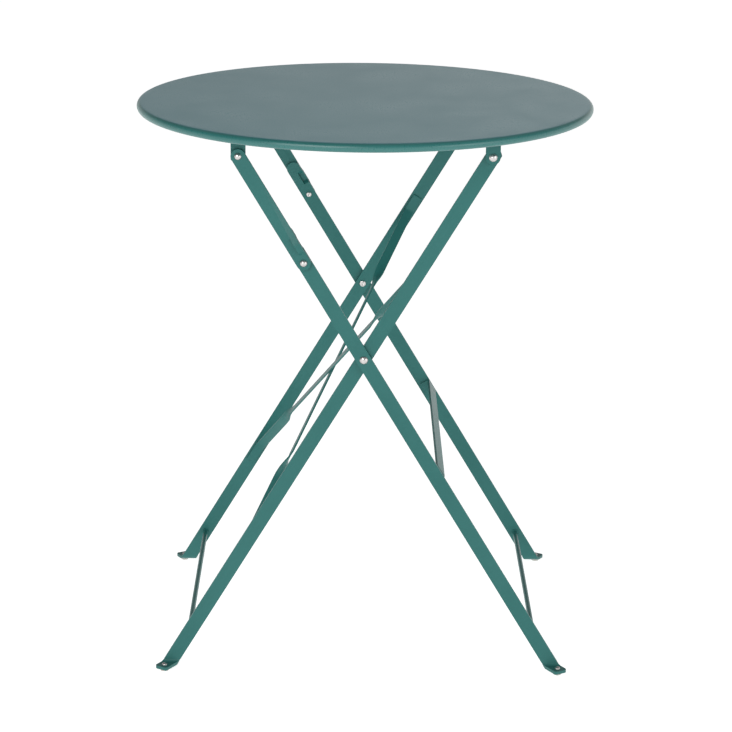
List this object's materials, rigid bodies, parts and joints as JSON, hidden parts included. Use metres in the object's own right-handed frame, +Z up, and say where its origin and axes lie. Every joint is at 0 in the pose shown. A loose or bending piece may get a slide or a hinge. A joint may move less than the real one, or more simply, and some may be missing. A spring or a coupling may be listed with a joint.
{
  "type": "folding bistro table",
  "caption": "Folding round bistro table: pressed steel top with a rolled rim on crossed flat-bar legs, with elbow links that let the top tip down flat against the folded legs.",
  "frame": {"origin": "on the floor under the middle of the round top", "axes": "+X to the right with the inner legs' top pivots on the right, +Y to the back, +Z up"},
  "size_m": [0.5799, 0.58, 0.7],
  "materials": {
    "painted_steel": "satin powder coat with a fine grain, deep teal green",
    "rivet_steel": "bright zinc-plated steel, domed",
    "washer_plastic": "black moulded nylon",
    "pad_plastic": "translucent off-white moulded plastic"
  },
  "bodies": {
    "outer_frame": {"outer_front_leg": "painted_steel", "outer_rear_leg": "painted_steel", "outer_lower_rod": "painted_steel", "outer_flat_stretcher": "painted_steel", "elbow_rivets": "rivet_steel", "elbow_washers": "washer_plastic", "scissor_rivets": "rivet_steel", "scissor_washers": "washer_plastic", "outer_front_foot_pad": "pad_plastic", "outer_rear_foot_pad": "pad_plastic", "outer_foot_rivets": "rivet_steel"},
    "inner_frame": {"inner_front_leg": "painted_steel", "inner_rear_leg": "painted_steel", "inner_lower_rod": "painted_steel", "brace_front_to_rear": "painted_steel", "brace_rear_to_front": "painted_steel", "inner_front_foot_pad": "pad_plastic", "inner_rear_foot_pad": "pad_plastic", "inner_foot_rivets": "rivet_steel", "top_pivot_rivets_inner": "rivet_steel", "top_pivot_washers": "washer_plastic"},
    "upper_links": {"front_upper_link": "painted_steel", "rear_upper_link": "painted_steel", "link_top_rivets": "rivet_steel", "link_top_washers": "washer_plastic"},
    "table_top": {"table_top": "painted_steel", "left_support_rail": "painted_steel", "right_support_rail": "painted_steel", "top_pivot_rivets_outer": "rivet_steel"}
  },
  "joints": [
    {"name": "scissor_hinge", "type": "hinge", "parent": "outer_frame", "child": "inner_frame", "pos_m": [0, 0, 0.411], "axis": [0, -1, 0], "range_deg": [0, 57]},
    {"name": "elbow_hinge", "type": "hinge", "parent": "outer_frame", "child": "upper_links", "pos_m": [-0.07433, 0, 0.53449], "axis": [0, -1, 0], "range_deg": [0, 160.7]},
    {"name": "link_top_hinge", "type": "hinge", "parent": "upper_links", "child": "table_top", "pos_m": [-0.1535, 0, 0.666], "axis": [0, 1, 0], "range_deg": [0, 54.2]}
  ],
  "couplings": [
    {"joint": "elbow_hinge", "follows": "scissor_hinge", "ratio": 2.8163},
    {"joint": "link_top_hinge", "follows": "scissor_hinge", "ratio": 0.94904}
  ]
}
